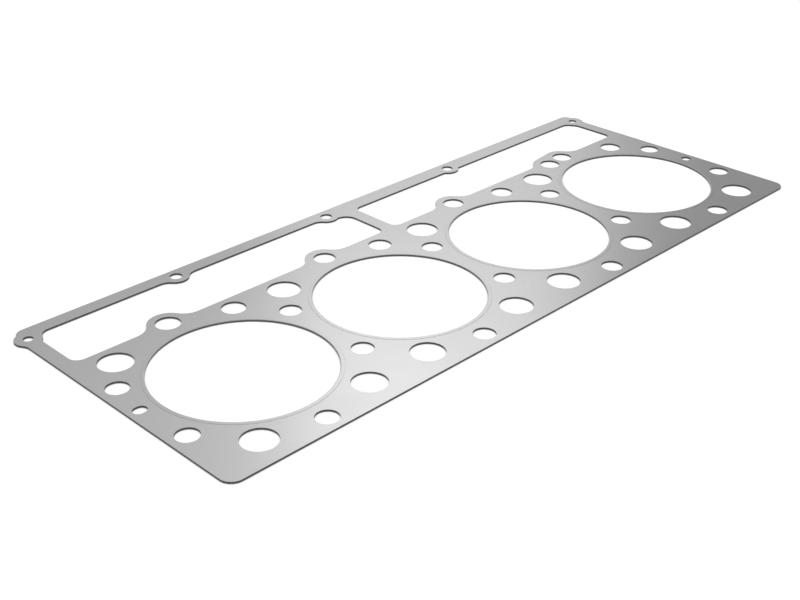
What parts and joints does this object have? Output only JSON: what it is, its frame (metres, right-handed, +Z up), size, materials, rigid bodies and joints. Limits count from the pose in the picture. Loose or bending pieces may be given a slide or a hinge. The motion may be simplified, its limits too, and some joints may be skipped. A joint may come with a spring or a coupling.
{
  "type": "cylinder head gasket",
  "caption": "Flat die-cut cylinder head gasket with folded rings round the bores, stud and water holes, and push rod windows along one side.",
  "frame": {"origin": "under the middle of the gasket's outline, on the surface that it lies on", "axes": "+X along the row of bores, +Y across towards the push rod windows, +Z up through the plate"},
  "size_m": [0.592, 0.2326, 0.0016],
  "materials": {
    "plate_steel": "satin rolled sheet with a faint grain along its length",
    "ring_steel": "thin bright sheet, folded over the bore's edge"
  },
  "bodies": {
    "root": {"gasket_plate": "plate_steel", "bore_ring_1": "ring_steel", "bore_ring_2": "ring_steel", "bore_ring_3": "ring_steel", "bore_ring_4": "ring_steel"}
  },
  "joints": []
}
